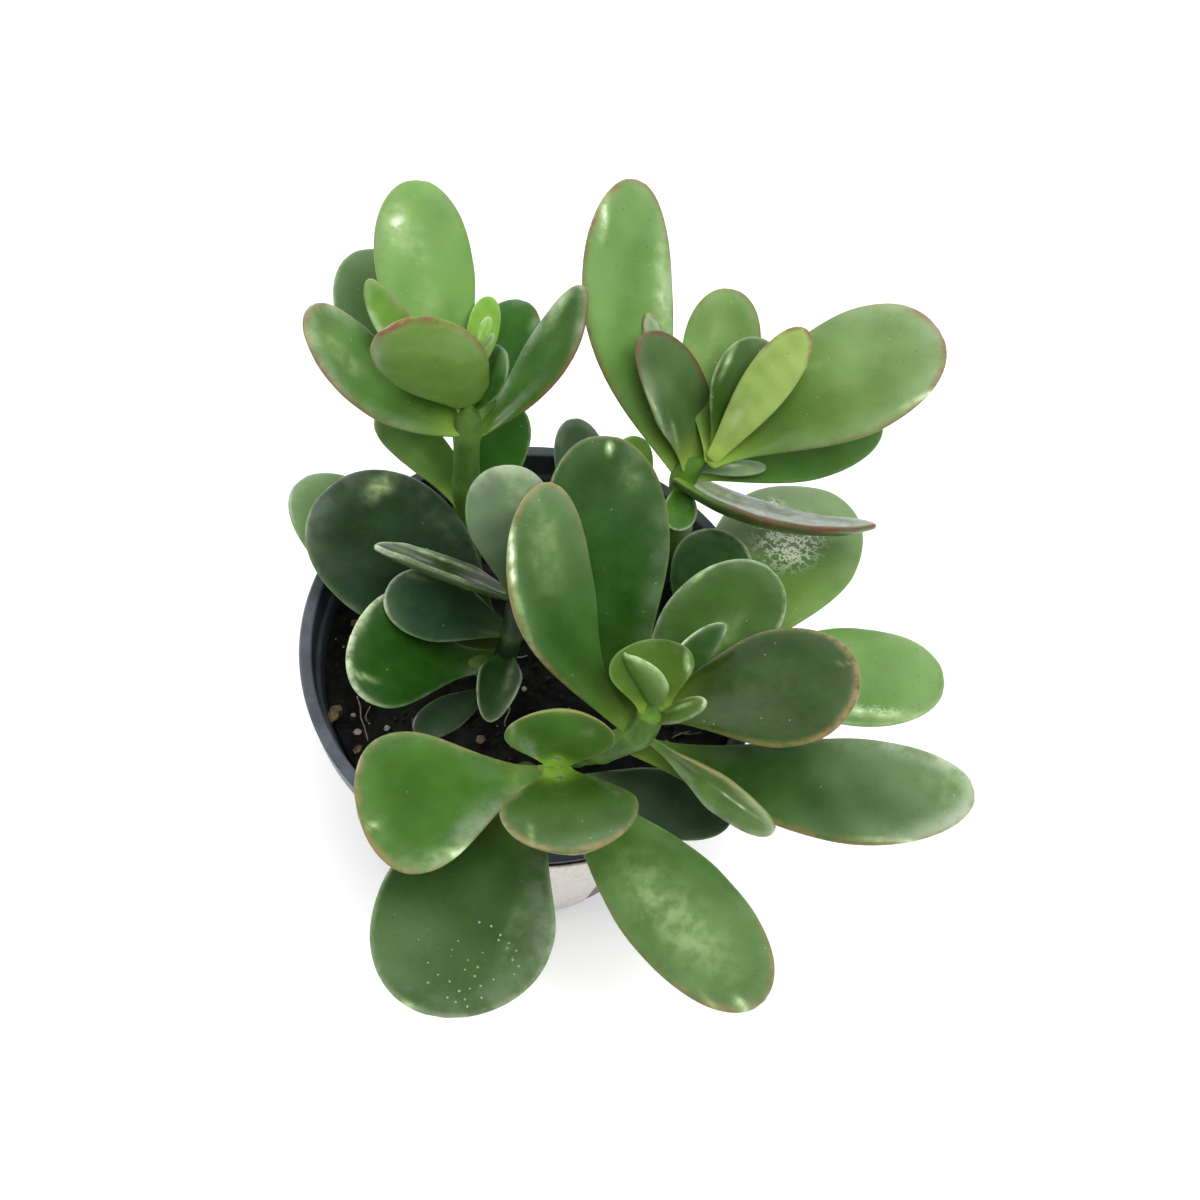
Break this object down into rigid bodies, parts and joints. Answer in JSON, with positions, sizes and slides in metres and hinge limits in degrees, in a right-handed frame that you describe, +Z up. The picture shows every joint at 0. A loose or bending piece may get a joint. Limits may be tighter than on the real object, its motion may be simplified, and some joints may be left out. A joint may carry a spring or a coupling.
{
  "type": "potted jade plant",
  "caption": "Young jade plant: leafy branching stems with thick oval leaves, standing in soil in a round tapered nursery pot with a banded rim and a blank label.",
  "frame": {"origin": "centre of the pot's base, on the surface that it stands on", "axes": "+Z up along the pot's axis; -Y towards the front, where the lowest broad leaves hang over the rim; +X to the right seen from the front"},
  "size_m": [0.1561, 0.1774, 0.171],
  "materials": {
    "pot_plastic": "satin",
    "label": "matte",
    "soil": "matte",
    "plant": "satin"
  },
  "bodies": {
    "root": {"pot": "pot_plastic", "label": "label", "soil": "soil", "stem_back_left": "plant", "stem_back_right": "plant", "stem_right": "plant", "stem_front": "plant", "stem_left": "plant", "stem_back": "plant", "stem_low_right": "plant"}
  },
  "joints": []
}
